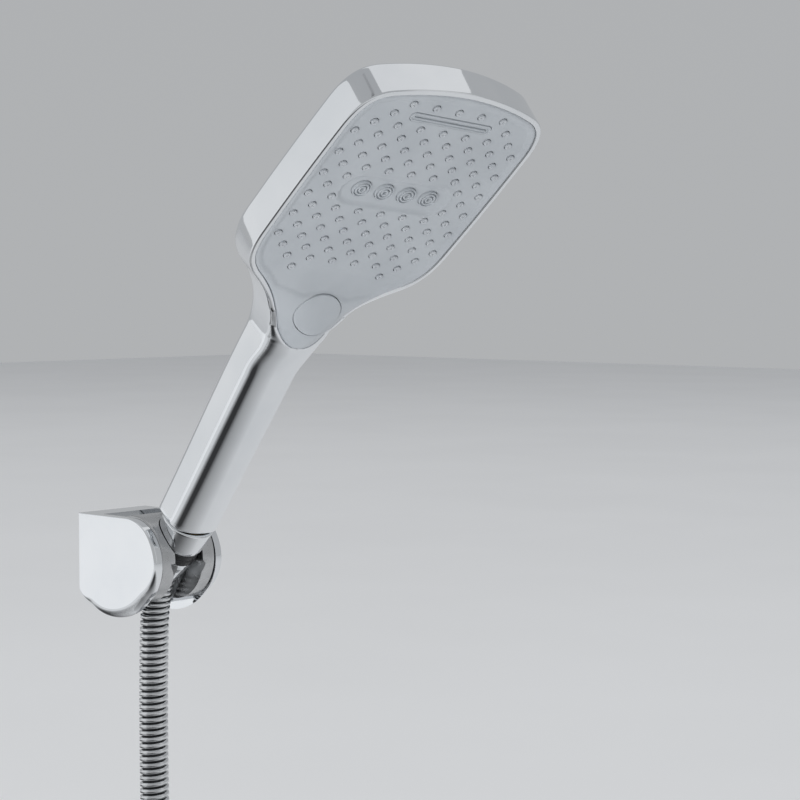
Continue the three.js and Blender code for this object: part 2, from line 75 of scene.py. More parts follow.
# ---------------------------------------------------------------- materials
class Nodes:
    def __init__(self, name):
        self.material = bpy.data.materials.new(name)
        self.material.use_nodes = True
        self.tree = self.material.node_tree
        self.shader = self.tree.nodes["Principled BSDF"]
        self.place = self.tree.nodes.new("ShaderNodeTexCoord").outputs["Object"]

    def add(self, kind, **values):
        node = self.tree.nodes.new(kind)
        for key, value in values.items():
            if key in node.inputs:
                node.inputs[key].default_value = value
            else:
                setattr(node, key, value)
        return node

    def link(self, output, target):
        self.tree.links.new(output, target)

    def noise(self, scale, detail=3.0, rough=0.55, stretch=None):
        node = self.add("ShaderNodeTexNoise", Scale=scale, Detail=detail, Roughness=rough)
        source = self.place
        if stretch:
            mapping = self.add("ShaderNodeMapping")
            mapping.inputs["Scale"].default_value = stretch
            self.link(self.place, mapping.inputs["Vector"])
            source = mapping.outputs["Vector"]
        self.link(source, node.inputs["Vector"])
        return node.outputs["Fac"]

    def span(self, value, low, high, start=0.3, end=0.7):
        node = self.add("ShaderNodeMapRange")
        node.inputs["From Min"].default_value = start
        node.inputs["From Max"].default_value = end
        node.inputs["To Min"].default_value = low
        node.inputs["To Max"].default_value = high
        self.link(value, node.inputs["Value"])
        return node.outputs["Result"]

    def tones(self, value, dark, light, start=0.35, end=0.65):
        ramp = self.add("ShaderNodeValToRGB")
        ramp.color_ramp.elements[0].position = start
        ramp.color_ramp.elements[0].color = (*dark, 1)
        ramp.color_ramp.elements[1].position = end
        ramp.color_ramp.elements[1].color = (*light, 1)
        self.link(value, ramp.inputs["Fac"])
        return ramp.outputs["Color"]

    def relief(self, height, depth):
        bump = self.add("ShaderNodeBump", Strength=1.0, Distance=depth)
        self.link(height, bump.inputs["Height"])
        return bump.outputs["Normal"]


def metal(name, dark, light, rough, cloud, grain, depth):
    """Metal or plating with a slow change of tone, patchy gloss and a fine grain."""
    m = Nodes(name)
    m.shader.inputs["Metallic"].default_value = 1.0
    m.link(m.tones(m.noise(cloud), dark, light), m.shader.inputs["Base Color"])
    m.link(m.span(m.noise(cloud * 6, 5), *rough), m.shader.inputs["Roughness"])
    m.link(m.relief(m.noise(grain[0], 4, 0.6, grain[1]), depth), m.shader.inputs["Normal"])
    return m.material


def moulded(name, dark, light, rough, texture, depth, sheen=0.0, glow=0.0):
    """Moulded plastic or rubber: slight tone drift, eroded skin and soft gloss."""
    m = Nodes(name)
    m.link(m.tones(m.noise(38, 4), dark, light), m.shader.inputs["Base Color"])
    m.link(m.span(m.noise(230, 4), *rough), m.shader.inputs["Roughness"])
    m.link(m.relief(m.noise(texture, 2, 0.7), depth), m.shader.inputs["Normal"])
    m.shader.inputs["Sheen Weight"].default_value = sheen
    if glow:
        m.shader.inputs["Subsurface Weight"].default_value = glow
        m.shader.inputs["Subsurface Radius"].default_value = (0.002, 0.002, 0.002)
        m.shader.inputs["Subsurface Scale"].default_value = 1.0
    return m.material


FINISH = {
    "polished_chrome": metal(
        "polished chrome", (0.80, 0.82, 0.84), (0.86, 0.875, 0.89), (0.035, 0.085), 22,
        (900, None), 0.0000012),
    "satin_chrome": metal(
        "satin chrome", (0.50, 0.505, 0.51), (0.58, 0.585, 0.59), (0.24, 0.34), 60,
        (5200, None), 0.000012),
    "plain_steel": metal(
        "plain steel", (0.52, 0.525, 0.53), (0.62, 0.62, 0.62), (0.24, 0.38), 70,
        (900, (1, 1, 14)), 0.00001),
    "hose_steel": metal(
        "hose steel", (0.66, 0.67, 0.68), (0.78, 0.79, 0.80), (0.10, 0.22), 120,
        (1800, (1, 1, 3)), 0.000006),
    "bare_brass": metal(
        "bare brass", (0.60, 0.43, 0.19), (0.72, 0.54, 0.27), (0.2, 0.34), 90,
        (1500, (1, 1, 8)), 0.000008),
    "grey_plastic": moulded(
        "grey satin plastic", (0.50, 0.53, 0.56), (0.54, 0.57, 0.60), (0.3, 0.38), 3600,
        0.0000015, glow=0.05),
    "grey_silicone": moulded(
        "grey silicone", (0.50, 0.525, 0.555), (0.56, 0.585, 0.61), (0.42, 0.54), 3000,
        0.000003, sheen=0.1, glow=0.15),
    "white_plastic": moulded(
        "white plastic", (0.70, 0.70, 0.67), (0.78, 0.78, 0.75), (0.38, 0.5), 2600,
        0.00001, glow=0.1),
    "black_plastic": moulded(
        "black plastic", (0.010, 0.010, 0.011), (0.022, 0.022, 0.024), (0.2, 0.32), 2600,
        0.00001),
    "black_rubber": moulded(
        "black rubber", (0.012, 0.012, 0.012), (0.028, 0.028, 0.028), (0.6, 0.75), 1600,
        0.00002, sheen=0.15),
}

SLOT_NODES = {
    "polished_chrome": "wall_base handset_shell cone_nut hose_ferrule_upper hose_ferrule_lower wall_nut",
    "satin_chrome": "cradle",
    "plain_steel": "wall_plate lock_screw pivot_pin_left pivot_pin_right",
    "hose_steel": "hose_tube hose_coil hose_tail_stretch",
    "bare_brass": "inlet_fitting hose_tail_upper hose_tail_lower",
    "grey_plastic": "spray_faceplate mode_button waterfall_lip massage_nozzle_1"
    " massage_nozzle_2 massage_nozzle_3 massage_nozzle_4",
    "grey_silicone": "nozzle_mat",
    "white_plastic": "water_divider chamber_cap selector_rotor"
    " valve_body inner_waterway inlet_filter",
    "black_plastic": "friction_washer_left friction_washer_right swivel_collar hose_tie",
    "black_rubber": "chamber_seal rotor_seal waterway_seal inlet_washer outlet_washer",
}

for slot_name, names in SLOT_NODES.items():
    for node_name in names.split():
        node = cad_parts[node_name]
        node.data.materials.clear()
        node.data.materials.append(FINISH[slot_name])


# ---------------------------------------------------------------- mesh making
def plain(name, verts, faces, place=WORLD):
    """A mesh object in metres, from points in millimetres in the given frame."""
    matrix = np.array(place)
    points = np.asarray(verts, float) @ matrix[:3, :3].T + matrix[:3, 3]
    mesh = bpy.data.meshes.new(name)
    mesh.from_pydata((points * MM).tolist(), [], faces)
    obj = bpy.data.objects.new(name, mesh)
    bpy.context.scene.collection.objects.link(obj)
    return obj


def raw(name, verts, faces, place=WORLD):
    """A plain object with its doubled points joined and its faces turned outwards."""
    obj = plain(name, verts, faces, place)
    work = bmesh.new()
    work.from_mesh(obj.data)
    bmesh.ops.remove_doubles(work, verts=work.verts, dist=2e-6)
    bmesh.ops.dissolve_degenerate(work, edges=work.edges, dist=1e-6)
    bmesh.ops.recalc_face_normals(work, faces=work.faces)
    work.to_mesh(obj.data)
    work.free()
    return obj


def finished(obj, slot, body, stands_for=(), sharp=38, soften=0.0):
    """Shades a piece, gives it its material and lets it ride on its body."""
    obj.data.materials.clear()
    obj.data.materials.append(FINISH[slot])
    if soften:
        bevel = obj.modifiers.new("edges", "BEVEL")
        bevel.width = soften * MM
        bevel.segments = 3
        bevel.limit_method = "ANGLE"
        bevel.angle_limit = math.radians(35)
        bevel.harden_normals = False
    obj.data.polygons.foreach_set("use_smooth", [True] * len(obj.data.polygons))
    obj.data.set_sharp_from_angle(angle=math.radians(sharp))
    if soften:
        weighted = obj.modifiers.new("normals", "WEIGHTED_NORMAL")
        weighted.keep_sharp = True
        weighted.weight = 100
    if body:
        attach(obj, body)
    if stands_for:
        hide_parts(*stands_for)
    return obj


def combined(base, others, operation):
    """Joins the other objects to the base or cuts them from it, and removes them."""
    for other in others:
        step = base.modifiers.new("solid", "BOOLEAN")
        step.object = other
        step.operation = operation
        step.solver = "EXACT"
    made = bpy.data.meshes.new_from_object(
        base.evaluated_get(bpy.context.evaluated_depsgraph_get()))
    base.modifiers.clear()
    base.data = made
    for other in others:
        bpy.data.objects.remove(other)


def rounded(profile, radius, steps=4, closed=False):
    """The polyline with each inner corner replaced by a small curve."""
    points = [Vector(p) for p in profile]
    count = len(points)
    result = []
    for i, p in enumerate(points):
        if not closed and i in (0, count - 1):
            result.append(p)
            continue
        before, after = points[i - 1], points[(i + 1) % count]
        back, on = (before - p), (after - p)
        reach = min(radius, back.length * 0.45, on.length * 0.45)
        if reach < 0.02:
            result.append(p)
            continue
        a, b = p + back.normalized() * reach, p + on.normalized() * reach
        for k in range(steps + 1):
            t = k / steps
            result.append(a * (1 - t) ** 2 + p * 2 * t * (1 - t) + b * t * t)
    return [tuple(p) for p in result]


def lathe(name, profile, place, segments=72, radius=0.3, closed=False, axis="z"):
    """Turned piece: profile pairs are radius and height. Closed ones are rings."""
    line = rounded(profile, radius, closed=closed)
    rows = len(line)
    verts = []
    for r, z in line:
        for k in range(segments):
            a = 2 * math.pi * k / segments
            x, y = r * math.cos(a), r * math.sin(a)
            verts.append((x, y, z) if axis == "z" else (z, x, y))
    faces = []
    for i in range(rows if closed else rows - 1):
        j = (i + 1) % rows
        for k in range(segments):
            n = (k + 1) % segments
            faces.append((i * segments + k, i * segments + n, j * segments + n, j * segments + k))
    return raw(name, verts, faces, place)


def skin(rings, caps=(False, False)):
    """Quads between closed rings of equal length, with a cap on either end if asked."""
    size = len(rings[0])
    verts = [tuple(p) for one in rings for p in one]
    faces = []
    for i in range(len(rings) - 1):
        for k in range(size):
            n = (k + 1) % size
            faces.append((i * size + k, i * size + n, (i + 1) * size + n, (i + 1) * size + k))
    if caps[0]:
        faces.append(tuple(range(size)))
    if caps[1]:
        faces.append(tuple(range((len(rings) - 1) * size, len(rings) * size)))
    return verts, faces


def prism(name, outline, low, high, place, plane="yz"):
    """Straight-sided block of an outline: plane yz runs along x, xz along y."""
    def at(a, b, h):
        return (h, a, b) if plane == "yz" else (a, h, b)

    rings = [[at(a, b, h) for a, b in outline] for h in (low, high)]
    verts, faces = skin(rings, caps=(True, True))
    return raw(name, verts, faces, place)


def block(name, x, y, z, place=WORLD):
    outline = [(y[0], z[0]), (y[1], z[0]), (y[1], z[1]), (y[0], z[1])]
    return prism(name, outline, x[0], x[1], place)


def rod(name, r, low, high, place, segments=64, axis="z"):
    return lathe(name, [(0, low), (r, low), (r, high), (0, high)], place, segments, 0, axis=axis)


def across(x, z):
    """Frame whose z axis runs along the wall (+Y) through (x, z)."""
    return shift(x, 0, z) @ turn(-90, "X")


# ---------------------------------------------------------------- hose
HOSE_DROP = [
    (0.03964, -0.00596), (0.03705, -0.01014), (0.03505, -0.01455), (0.0336, -0.0192),
    (0.03262, -0.024), (0.032, -0.0289), (0.03162, -0.0339), (0.03138, -0.0392),
    (0.03105, -0.048), (0.0307, -0.06), (0.0305, -0.074), (0.03045, -0.09),
    (0.0306, -0.106), (0.0308, -0.122), (0.031, -0.14), (0.0313, -0.16),
    (0.03145, -0.182), (0.0315, -0.206), (0.0315, -0.232),
]
HOSE_LENGTH = 1.6
COIL_TURNS, COIL_STEP, COIL_Z, TAIL = 3, 0.0146, -0.232, 0.05
COIL_START = HOSE_DROP[-1][0]
COIL_END = COIL_START + COIL_TURNS * COIL_STEP
PITCH = 0.00325
FINE = 0.0005
SIDES = 24


def even_line(points, step):
    """Points a fixed step apart along a smooth curve through the given ones."""
    p = np.asarray(points, float)
    ends = np.vstack([2 * p[0] - p[1], p, 2 * p[-1] - p[-2]])
    dense = []
    for i in range(len(p) - 1):
        a, b, c, d = ends[i : i + 4]
        for t in np.linspace(0, 1, 60, endpoint=False):
            dense.append(0.5 * (2 * b + (c - a) * t + (2 * a - 5 * b + 4 * c - d) * t * t
                                + (3 * b - a - 3 * c + d) * t ** 3))
    dense.append(p[-1])
    dense = np.array(dense)
    along = np.concatenate([[0], np.cumsum(np.linalg.norm(np.diff(dense, axis=0), axis=1))])
    wanted = np.linspace(0, along[-1], int(round(along[-1] / step)) + 1)
    return np.column_stack([np.interp(wanted, along, dense[:, k]) for k in range(3)])


def hose_route():
    """Centreline of the whole hose: the drop, the coil's turns and the tail."""
    drop = even_line([(x, 0, z) for x, z in HOSE_DROP], 0.002)
    fallen = np.linalg.norm(np.diff(drop, axis=0), axis=1).sum()
    wound = HOSE_LENGTH - fallen - TAIL
    radius = math.sqrt((wound / COIL_TURNS) ** 2 - COIL_STEP ** 2) / (2 * math.pi)
    turns = []
    for t in np.linspace(0, 1, 400)[1:]:
        a = 2 * math.pi * COIL_TURNS * t
        turns.append((COIL_START + COIL_TURNS * COIL_STEP * t,
                      radius - radius * math.cos(a), COIL_Z - radius * math.sin(a)))
    tail = [(COIL_END, 0, COIL_Z - d) for d in np.linspace(0, TAIL, 26)[1:]]
    return np.vstack([drop, turns, tail]), radius


# One turn of the wound strip: share of the pitch, radius in mm. From the groove index on it is the
# groove between two turns, painted near-black as shade.
PAINTED_SHADE_GROOVE = 6
STRIP = [(0.0, 6.2), (0.04, 6.9), (0.11, 7.2), (0.36, 7.3), (0.61, 7.2), (0.68, 6.9),
         (0.72, 6.2), (0.86, 5.6)]


def hose_mesh(route):
    """Tube of interlocked strip wound in a helix along the route."""
    line = even_line(np.vstack([route[:-1:4], route[-1:]]), FINE)
    along = np.arange(len(line)) * FINE
    tangent = np.gradient(line, axis=0)
    tangent /= np.linalg.norm(tangent, axis=1)[:, None]
    side = np.zeros_like(line)
    carried = np.array([0.0, 1.0, 0.0])
    for i, t in enumerate(tangent):
        carried = carried - t * carried.dot(t)
        carried /= np.linalg.norm(carried)
        side[i] = carried
    # the turns past the end fold flat onto it
    turns = math.ceil(along[-1] / PITCH) + 1
    where = np.array([(k + share) * PITCH for k in range(turns) for share, _ in STRIP])
    radius = np.tile([r for _, r in STRIP], turns) * MM
    columns = []
    for k in range(SIDES):
        a = 2 * math.pi * k / SIDES
        at = where + PITCH * k / SIDES
        centre, way, out = (np.column_stack([np.interp(at, along, field[:, i]) for i in range(3)])
                            for field in (line, tangent, side))
        other = np.cross(way, out)
        columns.append(centre + radius[:, None] * (math.cos(a) * out + math.sin(a) * other))
    verts = np.stack(columns, axis=1).reshape(-1, 3) / MM
    rows, step, faces = len(where), len(STRIP), []
    for i in range(rows - 1 - step):
        for k in range(SIDES):
            low = (i * SIDES + k, (i + 1) * SIDES + k)
            high = (low[0] + 1, low[1] + 1)
            if k == SIDES - 1:
                high = ((i + step) * SIDES, (i + step + 1) * SIDES)
            faces.append((low[0], high[0], high[1], low[1]))
    return verts, faces


route, coil_radius = hose_route()
hose = plain("hose", *hose_mesh(route))
finished(hose, "hose_steel", None, ("hose_tube", "hose_coil", "hose_tail_stretch"), sharp=180)
# Painted shade: near-black steel on the groove faces stands in for the shadow between the turns.
groove = metal("hose groove painted shade", (0.035, 0.036, 0.038), (0.07, 0.071, 0.074), (0.42, 0.55), 150,
               (1800, (1, 1, 3)), 0.000004)
hose.data.materials.append(groove)
# the groove rows take the painted shade material
strip_row = np.arange(len(hose.data.polygons)) // SIDES % len(STRIP)
hose.data.polygons.foreach_set("material_index", (strip_row >= PAINTED_SHADE_GROOVE).astype(int).tolist())
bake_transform(hose)


# ---------------------------------------------------------------- handset sheet
# The front of the handset is one sheet: v runs down the face, over a soft bend and on down
# the handle; u runs across it; n stands out of it.
BEND_V, BEND_SOFT, STRETCH = -53.8, 6.0, 1.0 / math.cos(LEAN)
BEND_X, BEND_Z = 14.51, 154.47
END_V = BEND_V - BEND_Z / STRETCH


def on_sheet(u, v, n):
    """Points of the sheet in the handset's frame, from arrays of u, v and n."""
    u, v, n = np.broadcast_arrays(*[np.asarray(a, float) for a in (u, v, n)])
    s = np.where(v > BEND_V, v - BEND_V, (v - BEND_V) * STRETCH)
    arc = BEND_SOFT / math.tan(LEAN / 2)
    part = np.clip((s + BEND_SOFT) / (2 * BEND_SOFT), 0, 1)
    angle = LEAN * part
    x = BEND_X + arc * (1 - np.cos(angle))
    z = BEND_Z - BEND_SOFT + arc * np.sin(angle)
    below, above = np.minimum(s + BEND_SOFT, 0), np.maximum(s - BEND_SOFT, 0)
    x = x + above * math.sin(LEAN) + n * np.cos(angle)
    z = z + below + above * math.cos(LEAN) - n * np.sin(angle)
    return np.stack([x, u, z], axis=-1)


def bezier(a, b, c, d, count):
    t = np.linspace(0, 1, count)[:, None]
    a, b, c, d = map(np.array, (a, b, c, d))
    return a * (1 - t) ** 3 + 3 * b * t * (1 - t) ** 2 + 3 * c * t * t * (1 - t) + d * t ** 3


def chain(*parts):
    return np.vstack([parts[0]] + [p[1:] for p in parts[1:]])


PLATE_SIDE = chain(
    bezier((0, 59.2), (16, 59), (30, 56), (39, 53), 26),
    bezier((39, 53), (46.5, 50.4), (49.4, 44.5), (50, 34), 22),
    bezier((50, 34), (50.7, 12), (50.7, -12), (50.2, -33), 34),
    bezier((50.2, -33), (49.6, -45), (46.5, -50.5), (39.5, -55.7), 20),
    bezier((39.5, -55.7), (30, -62), (24.5, -67.5), (19.6, -74.5), 22))
PLATE_TIP = bezier((19.6, -74.5), (15.5, -81), (10.5, -92.6), (0, -92.8), 26)
PLATE_HALF = chain(PLATE_SIDE, PLATE_TIP)
PLATE_LOOP = np.vstack([PLATE_HALF, (PLATE_HALF * [-1, 1])[-2:0:-1]])


def normals_of(line):
    """Unit normals of a half outline that runs down the +u side, pointing outwards."""
    along = np.gradient(line, axis=0)
    along /= np.linalg.norm(along, axis=1)[:, None]
    return np.column_stack([-along[:, 1], along[:, 0]])


def smooth(value, low, high):
    t = np.clip((np.asarray(value, float) - low) / (high - low), 0, 1)
    return t * t * (3 - 2 * t)


def plate_half_width(v):
    order = np.argsort(PLATE_HALF[:, 1])
    return np.interp(v, PLATE_HALF[order, 1], PLATE_HALF[order, 0], left=0.0)


def crown(u, v):
    """Height of the tongue's soft crown over the flat sheet."""
    amount = 1 - smooth(v, -76, -50)
    wide = np.maximum(plate_half_width(v), 13.5)
    tip = np.clip((-80.0 - v) / 12.8, 0, 1.2)
    swell = amount * (4.2 - 6.6 * np.clip(np.abs(u) / wide, 0, 1.3) ** 2 - 4.0 * tip ** 2)
    return swell + 0.45 * smooth(v, -72, -52)


# ---------------------------------------------------------------- chrome shell
BEZEL = 2.8
HANDLE_HALF, HANDLE_FLARE = 13.75, 0.85


def shell_outline():
    """Outer edge of the shell, the plate's edge beside it, and outward normals."""
    neck_half = HANDLE_HALF + HANDLE_FLARE
    side_normal = normals_of(PLATE_HALF)[: len(PLATE_SIDE)]
    side_normal[0] = (0, 1)
    outer = PLATE_SIDE + side_normal * BEZEL
    start, way = outer[-1], np.array([-side_normal[-1][1], side_normal[-1][0]])
    way = -way if way[1] > 0 else way
    neck = bezier(start, start + way * 8.5, (neck_half, -91), (neck_half, -99), 40)
    # closer rows just under the tongue
    handle_v = np.concatenate([np.linspace(-99, -116, 14), np.linspace(-118, END_V + 1.2, 36)])
    handle = np.column_stack([HANDLE_HALF + HANDLE_FLARE * smooth(handle_v, -190, -99), handle_v])
    line = chain(outer, neck, handle)
    lower_v = line[len(PLATE_SIDE):, 1]
    plate = np.vstack([PLATE_SIDE, np.column_stack([plate_half_width(lower_v), lower_v])])
    normal = normals_of(line)
    normal[0] = (0, 1)
    normal[: len(PLATE_SIDE) - 1] = side_normal[:-1]
    return line, plate, normal


# depth of the back along its middle and along its edge, by v
BACK = np.array([(-204, 25.4), (-110, 25.4), (-95, 25.5), (-80, 25.9), (-62, 26.4), (-50, 26.6),
                 (-25, 26.2), (5, 25.0), (32, 22.9), (52, 20.4), (66, 18.6)])
EDGE = np.array([(-204, 25.2), (-100, 25.2), (-85, 24.6), (-72, 22.9), (-60, 20.8), (-50, 19.2),
                 (-38, 18.3), (-10, 17.9), (30, 17.7), (52, 17.6), (62, 17.6)])


def table_curve(rows, value):
    """Smooth curve through a table of pairs."""
    x, y = rows[:, 0], rows[:, 1]
    slope = np.gradient(y, x)
    i = np.clip(np.searchsorted(x, value) - 1, 0, len(x) - 2)
    h = x[i + 1] - x[i]
    t = np.clip((value - x[i]) / h, 0, 1)
    return ((2 * t ** 3 - 3 * t ** 2 + 1) * y[i] + (t ** 3 - 2 * t ** 2 + t) * h * slope[i]
            + (3 * t ** 2 - 2 * t ** 3) * y[i + 1] + (t ** 3 - t ** 2) * h * slope[i + 1])


def shell_section(outer, plate, normal):
    """Half section of the shell: lip, rim, front corner, side, rear corner, back."""
    u, v = outer
    has_plate = v > -92.6
    gap = 0.16 if has_plate else 0.0
    rim = plate + normal * gap if has_plate else np.array([0.0, v])
    rim[0] = max(rim[0], 0.0)
    low = smooth(-v, 93.0, 113.0) * 3.5
    level = float(crown(plate[0], v)) if has_plate else float(crown(0.0, -92.8)) * (
        1 - smooth(-v, 92.6, 110.0))
    level = level + 0.1 - float(low)
    width = float(np.linalg.norm(outer - rim))
    front_r = min(1.0 + 6.2 * float(smooth(-v, 62, 100)), 0.72 * width)
    droop = 1.5 * float(smooth(-v, 72, 104))
    rear_r = 3.0 + 0.7 * float(smooth(-v, 50, 80))
    points = []
    for drop, out in ((2.6, 0.0), (0.45, 0.0), (0.12, 0.12), (0.0, 0.45)):
        inset = 1.0 if has_plate else 0.0
        at = rim + normal * out * inset
        points.append((at, level - drop * inset))
    start = points[-1][0]
    tilt = 0.0
    for _ in range(4):
        target = outer - normal * front_r * (1 - math.sin(tilt))
        tilt = math.atan(2 * droop / max(float(np.linalg.norm(target - start)), 0.5))
        tilt = min(tilt, 0.5)
    for t in np.linspace(0, 1, 9)[1:]:
        points.append((start * (1 - t) + target * t, level - droop * t * t))
    core = level - droop - front_r * math.cos(tilt)
    for a in np.linspace(tilt, math.pi / 2, 12)[1:]:
        points.append((outer - normal * front_r * (1 - math.sin(a)),
                       core + front_r * math.cos(a)))
    edge = float(table_curve(EDGE, v))
    top_z, low_z = points[-1][1], -(edge - rear_r)
    for t in np.linspace(0, 1, 8)[1:]:
        points.append((outer, top_z * (1 - t) + low_z * t))
    middle_v = v if v < -20 else -20 + (v + 20) * (1 - 0.28 * float(smooth(v, -20, 30)))
    middle = np.array([0.0, middle_v])
    centre = float(table_curve(BACK, middle_v))
    reach = float(np.linalg.norm(outer - middle)) - rear_r
    lean = math.atan(2 * max(centre - edge, 0.02) / reach)
    for a in np.linspace(0, math.pi / 2 - lean, 10)[1:]:
        points.append((outer - normal * rear_r * (1 - math.cos(a)),
                       -(edge - rear_r + rear_r * math.sin(a))))
    inner, inner_depth = points[-1][0], -points[-1][1]
    for t in np.linspace(0, 1, 15)[1:]:
        depth = inner_depth + (centre - inner_depth) * (2 * t - t * t)
        points.append((inner * (1 - t) + middle * t, -depth))
    return [(p[0], p[1], n) for p, n in points]


def chrome_shell():
    line, plate, normal = shell_outline()
    sections = [shell_section(o, p, k) for o, p, k in zip(line, plate, normal)]
    last = sections[-1]
    # rounded lower end of the handle
    for down, inset in ((0.5, 0.12), (0.9, 0.45), (1.1, 0.9), (1.2, 1.6), (1.2, 4.2)):
        centre_n = -14.5
        ring = []
        for u, v, n in last:
            d = math.hypot(u, n - centre_n)
            k = max(0.0, (d - inset) / d)
            ring.append((u * k, v - down / STRETCH, centre_n + (n - centre_n) * k))
        sections.append(ring)
    grid = np.array(sections)
    rows, size = grid.shape[:2]
    verts, faces = [], []
    for mirror in (1, -1):
        base = len(verts)
        verts.extend(map(tuple, on_sheet(grid[..., 0] * mirror, grid[..., 1],
                                         grid[..., 2]).reshape(-1, 3)))
        for i in range(rows - 1):
            for k in range(size - 1):
                a = base + i * size + k
                faces.append((a, a + 1, a + size + 1, a + size))
    obj = raw("handset_casing", verts, faces, HANDSET)
    finished(obj, "polished_chrome", "handset", ("handset_shell",), sharp=75)


chrome_shell()


# ---------------------------------------------------------------- spray face
GRID = 12.63
NUB_ROWS = [
    [3, 5, 7, 9, 11], [2, 12], [1, 3, 5, 7, 9, 11, 13], [0, 2, 4, 6, 8, 10, 12, 14],
    [1, 3, 5, 7, 9, 11, 13], [0, 2, 4, 6, 8, 10, 12, 14], [1, 3, 5, 7, 9, 11, 13],
    [0, 2, 12, 14], [1, 13], [0, 2, 12, 14], [1, 3, 5, 7, 9, 11, 13],
    [0, 2, 4, 6, 8, 10, 12, 14], [1, 3, 5, 7, 9, 11, 13], [0, 2, 4, 6, 8, 10, 12, 14],
    [1, 3, 5, 7, 9, 11, 13], [2, 4, 6, 8, 10, 12], [3, 11],
]
NUBS = [((c - 7) / 2 * GRID, (8 - row) / 2 * GRID)
        for row, columns in enumerate(NUB_ROWS) for c in columns]
JETS = [(k * GRID, 0.0) for k in (-1.5, -0.5, 0.5, 1.5)]
BUTTON_V = BEND_V - (BEND_Z - 135.3) / STRETCH
BUTTON_A, BUTTON_B = 12.4, 10.6 / STRETCH
SLOT_U, SLOT_HALF, SLOT_V = 22.5, 2.35, 44.2


def slot_outline(grow, count=24):
    """Outline of the waterfall slot, grown or shrunk."""
    r = SLOT_HALF + grow
    flat = SLOT_U - SLOT_HALF
    points = []
    for side, start in ((1, -math.pi / 2), (-1, math.pi / 2)):
        for k in range(count + 1):
            a = start + math.pi * k / count
            points.append((side * flat + r * math.cos(a), SLOT_V + r * math.sin(a)))
    return points


def button_outline(a, b, count=72):
    return [(a * math.cos(2 * math.pi * k / count), BUTTON_V + b * math.sin(2 * math.pi * k / count))
            for k in range(count)]


def outline_distance(u, v):
    """Distance inside the plate's edge."""
    a, b = PLATE_LOOP, np.roll(PLATE_LOOP, -1, axis=0)
    p = np.column_stack([u, v])[:, None, :]
    ab = (b - a)[None]
    t = np.clip(((p - a[None]) * ab).sum(-1) / (ab ** 2).sum(-1), 0, 1)
    gap = np.linalg.norm(p - (a[None] + ab * t[..., None]), axis=-1).min(axis=1)
    crossing = ((a[None, :, 1] > p[..., 1]) != (b[None, :, 1] > p[..., 1])) & (
        p[..., 0] < a[None, :, 0] + (p[..., 1] - a[None, :, 1]) * (b - a)[None, :, 0]
        / np.where((b - a)[None, :, 1] == 0, 1e-9, (b - a)[None, :, 1]))
    inside = crossing.sum(axis=1) % 2 == 1
    return np.where(inside, gap, -gap)


def face_height(u, v, edge):
    """Height of the grey face over the sheet; edge is the distance inside its outline."""
    u, v, edge = map(np.asarray, (u, v, edge))
    lower = -63.2 + 0.9 * np.cos(u / 13 * math.pi)
    field = smooth(edge, 1.2, 4.2) * smooth(v - lower, -1.1, 1.6)
    height = crown(u, v) - 0.95 * field
    slot_gap = np.hypot(np.maximum(np.abs(u) - 21.0, 0), v + 0.8) - 8.5
    pool = 1 - smooth(slot_gap, -1.6, 0.9)
    lip = np.exp(-((slot_gap - 1.0) / 0.8) ** 2) * 0.28
    height = height - 0.9 * pool + lip
    return height - 0.34 * np.exp(-(edge / 0.28) ** 2)


def face_level(u, v):
    """Height of the open face at one point."""
    return float(face_height([u], [v], [9.0])[0])


def face_normals(u, v):
    """Normals of the grey face in the handset's frame."""
    def at(a, b):
        return on_sheet(a, b, face_height(a, b, np.maximum(outline_distance(a, b), 0)))

    step = 0.08
    across_face = at(u + step, v) - at(u - step, v)
    up_face = at(u, v + step) - at(u, v - step)
    normal = np.cross(across_face, up_face)
    return normal / np.linalg.norm(normal, axis=1)[:, None]


def circle(u, v, r, count):
    return [(u + r * math.cos(2 * math.pi * k / count), v + r * math.sin(2 * math.pi * k / count))
            for k in range(count)]


def face_loops():
    """Loops that the face's mesh follows, each with a mark that says whether it is sunk."""
    along = np.roll(PLATE_LOOP, -1, axis=0) - np.roll(PLATE_LOOP, 1, axis=0)
    along /= np.linalg.norm(along, axis=1)[:, None]
    inward = np.column_stack([along[:, 1], -along[:, 0]])
    loops = [(False, PLATE_LOOP + inward * d) for d in (0.0, 0.3, 1.0)]
    # each opening's edge, then its shoulder
    for sunk, nub, jet, slot, grow in ((True, 1.95, 4.75, 0.25, 0.28), (False, 2.3, 5.15, 0.6, 0.6)):
        loops += [(sunk, circle(u, v, nub, 16)) for u, v in NUBS]
        loops += [(sunk, circle(u, v, jet, 36)) for u, v in JETS]
        loops.append((sunk, slot_outline(slot)))
        loops.append((sunk, button_outline(BUTTON_A + grow, BUTTON_B + grow)))
    return loops


def field_points(step=1.3):
    """Staggered grid over the face, clear of its edge and its openings."""
    us, vs = np.meshgrid(np.arange(-51, 51.1, step), np.arange(-93, 60, step * 0.87))
    us = us + (np.arange(len(us)) % 2)[:, None] * step / 2
    us, vs = us.ravel(), vs.ravel()
    keep = outline_distance(us, vs) > 1.7
    for u, v, r in [(u, v, 2.9) for u, v in NUBS] + [(u, v, 5.7) for u, v in JETS]:
        keep &= np.hypot(us - u, vs - v) > r
    keep &= ~((np.abs(us) < 24) & (np.abs(vs - SLOT_V) < 3.6))
    keep &= np.hypot(us / (BUTTON_A + 1.3), (vs - BUTTON_V) / (BUTTON_B + 1.3)) > 1
    return list(zip(us[keep], vs[keep]))


